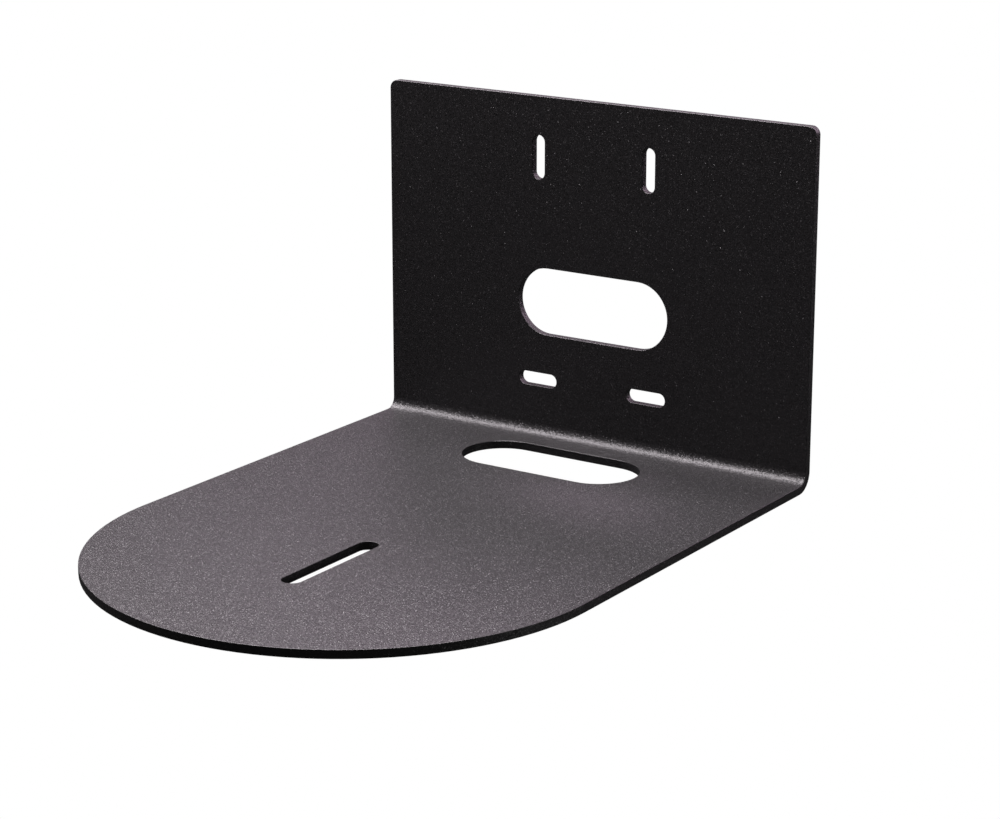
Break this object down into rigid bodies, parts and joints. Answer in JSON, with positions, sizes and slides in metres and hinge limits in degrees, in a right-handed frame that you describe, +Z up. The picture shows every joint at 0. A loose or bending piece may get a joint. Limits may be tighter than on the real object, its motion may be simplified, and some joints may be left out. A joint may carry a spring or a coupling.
{
  "type": "camera wall mount",
  "caption": "Wall bracket folded from one steel sheet: an upright plate with screw slots and a cable opening, and a round-fronted shelf with a cable opening and a camera screw slot.",
  "frame": {"origin": "on the wall plate's back face, which lies against the wall, midway between the two lower screw slots", "axes": "+Z up the wall, +Y into the wall, so that the shelf reaches towards -Y; X runs across the plate"},
  "size_m": [0.177, 0.237, 0.129],
  "materials": {
    "powder_coat": "black fine-textured powder coat on folded steel sheet"
  },
  "bodies": {
    "root": {"bracket": "powder_coat"}
  },
  "joints": []
}
